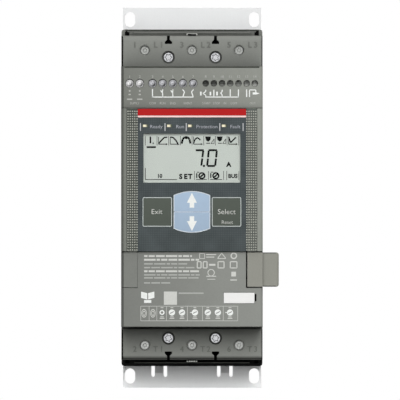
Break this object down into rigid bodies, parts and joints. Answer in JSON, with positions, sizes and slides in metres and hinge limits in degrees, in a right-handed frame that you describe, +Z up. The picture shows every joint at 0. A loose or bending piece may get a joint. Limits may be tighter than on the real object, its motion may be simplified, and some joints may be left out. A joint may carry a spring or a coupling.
{
  "type": "soft starter",
  "caption": "Tall stepped grey wall-mounted motor soft starter with display, keys, control terminals, covered power clamps, heat sink and fans.",
  "frame": {"origin": "centre of the mounting plate's back face, on the wall plane", "axes": "+X to the right seen from the front, +Y into the wall, +Z up"},
  "size_m": [0.1002, 0.186, 0.245],
  "materials": {
    "grey_plastic": "fine matt moulding texture",
    "dark_grey_plastic": "fine matt moulding texture",
    "black_plastic": "satin moulding",
    "cap_grey": "fine matt moulding texture",
    "plate_steel": "satin zinc",
    "screw_steel": "bright zinc",
    "clamp_steel": "yellow zinc",
    "sink_aluminium": "extruded, bare",
    "copper": "tinned copper, bare edges",
    "board_green": "solder mask",
    "overlay_foil": "matt printed foil",
    "red_foil": "matt printed foil",
    "key_grey": "matt printed foil",
    "key_blue": "matt printed foil",
    "lcd_grey": "reflective display",
    "window_clear": "clear, smooth",
    "light_amber": "diffusing",
    "tag_white": "matt"
  },
  "bodies": {
    "housing": {"mounting_plate": "plate_steel", "plate_screws": "screw_steel", "heat_sink": "sink_aluminium", "rear_housing": "dark_grey_plastic", "fan_tray": "black_plastic", "fan_frame_left": "black_plastic", "fan_frame_right": "black_plastic", "fan_guards": "black_plastic", "fan_screws": "screw_steel", "main_housing": "dark_grey_plastic", "line_terminal_block": "grey_plastic", "load_terminal_block": "grey_plastic", "line_terminal_cover": "grey_plastic", "load_terminal_cover": "grey_plastic", "cover_screws": "screw_steel", "thyristor_modules": "black_plastic", "line_busbars": "copper", "load_busbars": "copper", "bypass_relays": "black_plastic", "current_transformers": "black_plastic", "power_board": "board_green", "control_board": "board_green", "front_housing": "grey_plastic", "control_cover": "grey_plastic", "supply_terminal_block": "dark_grey_plastic", "signal_terminal_block": "dark_grey_plastic", "supply_terminal_screws": "screw_steel", "signal_terminal_screws": "screw_steel", "display_bezel": "grey_plastic", "keypad_overlay": "overlay_foil", "title_strip": "red_foil", "display_board": "board_green", "key_switches": "black_plastic", "lcd_module": "lcd_grey", "lcd_window": "window_clear", "status_lights": "light_amber", "label_cover": "grey_plastic", "blanking_cover": "grey_plastic", "marker_tag": "tag_white", "bus_socket": "dark_grey_plastic"},
    "fan_left": {"fan_rotor_left": "black_plastic"},
    "fan_right": {"fan_rotor_right": "black_plastic"},
    "exit_key": {"exit_key": "key_grey"},
    "select_key": {"select_key": "key_grey"},
    "up_key": {"up_key": "key_blue"},
    "down_key": {"down_key": "key_blue"},
    "bus_cap": {"bus_cap": "cap_grey"},
    "line_screw_1": {"line_screw_1": "screw_steel"},
    "line_clamp_1": {"line_clamp_1": "clamp_steel"},
    "line_screw_2": {"line_screw_2": "screw_steel"},
    "line_clamp_2": {"line_clamp_2": "clamp_steel"},
    "line_screw_3": {"line_screw_3": "screw_steel"},
    "line_clamp_3": {"line_clamp_3": "clamp_steel"},
    "load_screw_1": {"load_screw_1": "screw_steel"},
    "load_clamp_1": {"load_clamp_1": "clamp_steel"},
    "load_screw_2": {"load_screw_2": "screw_steel"},
    "load_clamp_2": {"load_clamp_2": "clamp_steel"},
    "load_screw_3": {"load_screw_3": "screw_steel"},
    "load_clamp_3": {"load_clamp_3": "clamp_steel"}
  },
  "joints": [
    {"name": "fan_left_spin", "type": "hinge", "parent": "housing", "child": "fan_left", "pos_m": [-0.02115, -0.02891, -0.0932], "axis": [0, 0, 1], "continuous": true},
    {"name": "fan_right_spin", "type": "hinge", "parent": "housing", "child": "fan_right", "pos_m": [0.02115, -0.02891, -0.0932], "axis": [0, 0, 1], "continuous": true},
    {"name": "exit_key_press", "type": "slide", "parent": "housing", "child": "exit_key", "axis": [0, 1, 0], "range_m": [0, 0.0004], "stiffness_N_per_m": 4000},
    {"name": "select_key_press", "type": "slide", "parent": "housing", "child": "select_key", "axis": [0, 1, 0], "range_m": [0, 0.0004], "stiffness_N_per_m": 4000},
    {"name": "up_key_press", "type": "slide", "parent": "housing", "child": "up_key", "axis": [0, 1, 0], "range_m": [0, 0.0004], "stiffness_N_per_m": 4000},
    {"name": "down_key_press", "type": "slide", "parent": "housing", "child": "down_key", "axis": [0, 1, 0], "range_m": [0, 0.0004], "stiffness_N_per_m": 4000},
    {"name": "bus_cap_pull", "type": "slide", "parent": "housing", "child": "bus_cap", "axis": [1, 0, 0], "range_m": [0, 0.025]},
    {"name": "line_screw_1_turn", "type": "hinge", "parent": "housing", "child": "line_screw_1", "pos_m": [-0.03, -0.13, 0.094], "axis": [0, 1, 0], "range_deg": [0, 4860.12]},
    {"name": "line_clamp_1_rise", "type": "slide", "parent": "housing", "child": "line_clamp_1", "axis": [0, -1, 0], "range_m": [0, 0.0135]},
    {"name": "line_screw_2_turn", "type": "hinge", "parent": "housing", "child": "line_screw_2", "pos_m": [0, -0.13, 0.094], "axis": [0, 1, 0], "range_deg": [0, 4860.12]},
    {"name": "line_clamp_2_rise", "type": "slide", "parent": "housing", "child": "line_clamp_2", "axis": [0, -1, 0], "range_m": [0, 0.0135]},
    {"name": "line_screw_3_turn", "type": "hinge", "parent": "housing", "child": "line_screw_3", "pos_m": [0.03, -0.13, 0.094], "axis": [0, 1, 0], "range_deg": [0, 4860.12]},
    {"name": "line_clamp_3_rise", "type": "slide", "parent": "housing", "child": "line_clamp_3", "axis": [0, -1, 0], "range_m": [0, 0.0135]},
    {"name": "load_screw_1_turn", "type": "hinge", "parent": "housing", "child": "load_screw_1", "pos_m": [-0.03, -0.13, -0.094], "axis": [0, 1, 0], "range_deg": [0, 4860.12]},
    {"name": "load_clamp_1_rise", "type": "slide", "parent": "housing", "child": "load_clamp_1", "axis": [0, -1, 0], "range_m": [0, 0.0135]},
    {"name": "load_screw_2_turn", "type": "hinge", "parent": "housing", "child": "load_screw_2", "pos_m": [0, -0.13, -0.094], "axis": [0, 1, 0], "range_deg": [0, 4860.12]},
    {"name": "load_clamp_2_rise", "type": "slide", "parent": "housing", "child": "load_clamp_2", "axis": [0, -1, 0], "range_m": [0, 0.0135]},
    {"name": "load_screw_3_turn", "type": "hinge", "parent": "housing", "child": "load_screw_3", "pos_m": [0.03, -0.13, -0.094], "axis": [0, 1, 0], "range_deg": [0, 4860.12]},
    {"name": "load_clamp_3_rise", "type": "slide", "parent": "housing", "child": "load_clamp_3", "axis": [0, -1, 0], "range_m": [0, 0.0135]}
  ],
  "couplings": [
    {"joint": "line_screw_1_turn", "follows": "line_clamp_1_rise", "rad_per_m": 6283.2},
    {"joint": "line_screw_2_turn", "follows": "line_clamp_2_rise", "rad_per_m": 6283.2},
    {"joint": "line_screw_3_turn", "follows": "line_clamp_3_rise", "rad_per_m": 6283.2},
    {"joint": "load_screw_1_turn", "follows": "load_clamp_1_rise", "rad_per_m": 6283.2},
    {"joint": "load_screw_2_turn", "follows": "load_clamp_2_rise", "rad_per_m": 6283.2},
    {"joint": "load_screw_3_turn", "follows": "load_clamp_3_rise", "rad_per_m": 6283.2}
  ]
}
